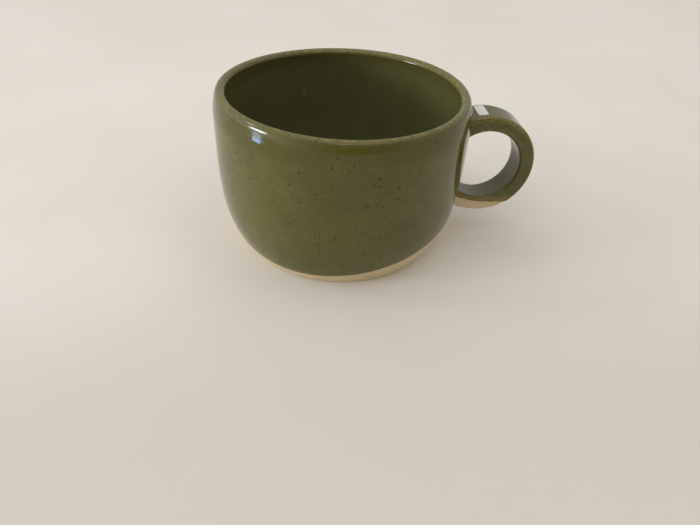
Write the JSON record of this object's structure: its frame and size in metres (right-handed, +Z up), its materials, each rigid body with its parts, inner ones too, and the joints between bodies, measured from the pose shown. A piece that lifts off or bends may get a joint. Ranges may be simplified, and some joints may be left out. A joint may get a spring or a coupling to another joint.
{
  "type": "cappuccino cup",
  "caption": "Wide stoneware cappuccino cup with an olive speckled glaze, bare clay foot and a ring handle for one finger.",
  "frame": {"origin": "middle of the flat foot, on the cup's turning axis, in the plane it stands on", "axes": "+Z up along the turning axis, +X from the axis towards the middle of the ring handle"},
  "size_m": [0.14, 0.1076, 0.0685],
  "materials": {
    "clay": "bare buff stoneware, fine-grained and matte",
    "slip": "fired slip at the handle joints, stained by the glaze",
    "liner": "glossy olive glaze with small dark iron speckles",
    "glaze": "glossy olive glaze with small dark iron speckles, browner where thin",
    "patch": "plain white, blank"
  },
  "bodies": {
    "root": {"cup_body": "clay", "handle_ring": "clay", "upper_slip_joint": "slip", "lower_slip_joint": "slip", "inner_glaze": "liner", "outer_glaze": "glaze", "handle_glaze": "glaze", "mark_patch": "patch"}
  },
  "joints": []
}
